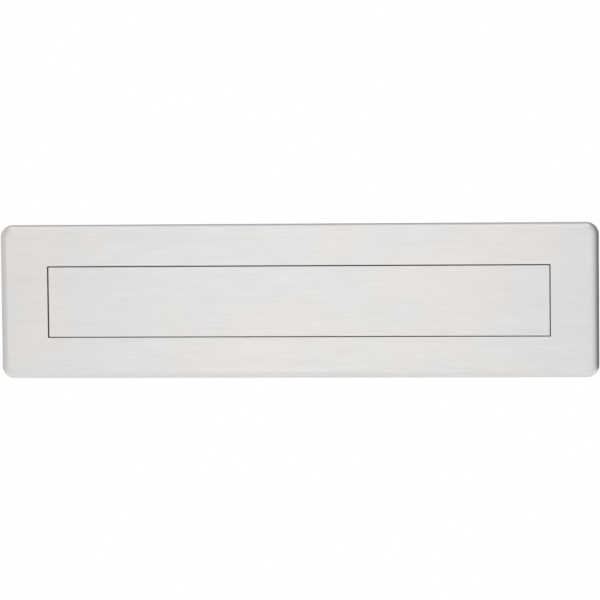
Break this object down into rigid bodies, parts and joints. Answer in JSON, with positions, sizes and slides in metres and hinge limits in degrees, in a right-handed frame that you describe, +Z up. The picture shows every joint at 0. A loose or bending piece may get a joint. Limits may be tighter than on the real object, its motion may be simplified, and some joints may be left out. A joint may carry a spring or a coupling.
{
  "type": "letter plate",
  "caption": "Flush stainless letter plate with a top-hung flap that opens inwards against springs, fixed from inside the door by screws into welded barrels",
  "frame": {"origin": "centre of the plate, on the plane where its rim and gasket meet the door", "axes": "X along the plate, Y from the street side into the door, Z up; the visible face looks towards -Y"},
  "size_m": [0.34, 0.0525, 0.0874],
  "materials": {
    "brushed_sheet": "stainless sheet, fine brush along the length",
    "mill_sheet": "stainless sheet, dull mill finish",
    "ground_rod": "drawn and turned stainless rod",
    "spring_steel": "drawn stainless spring wire and strip",
    "fastener_steel": "cold-headed stainless fasteners",
    "seal_rubber": "smooth black rubber sheet",
    "foam_rubber": "closed-cell black foam",
    "nylon": "moulded natural nylon"
  },
  "bodies": {
    "plate": {"front_plate": "brushed_sheet", "door_gasket": "foam_rubber", "hinge_bracket_left": "mill_sheet", "hinge_bracket_right": "mill_sheet", "bracket_bush_left": "nylon", "bracket_bush_right": "nylon", "return_spring_left": "spring_steel", "return_spring_right": "spring_steel", "fixing_barrel_left": "ground_rod", "fixing_barrel_right": "ground_rod", "fixing_screw_left": "fastener_steel", "fixing_screw_right": "fastener_steel", "screw_washer_left": "fastener_steel", "screw_washer_right": "fastener_steel"},
    "flap": {"flap_panel": "brushed_sheet", "flap_seal": "seal_rubber", "flap_backing": "mill_sheet", "flap_studs": "fastener_steel", "flap_nuts": "fastener_steel", "hinge_pin": "ground_rod", "pin_clip_left": "spring_steel", "pin_clip_right": "spring_steel"}
  },
  "joints": [
    {"name": "flap_hinge", "type": "hinge", "parent": "plate", "child": "flap", "pos_m": [0, 0.004, 0.0265], "axis": [1, 0, 0], "range_deg": [0, 80], "stiffness_Nm_per_rad": 0.084, "springref_deg": -44.98, "deforming": ["return_spring_left", "return_spring_right"]}
  ]
}
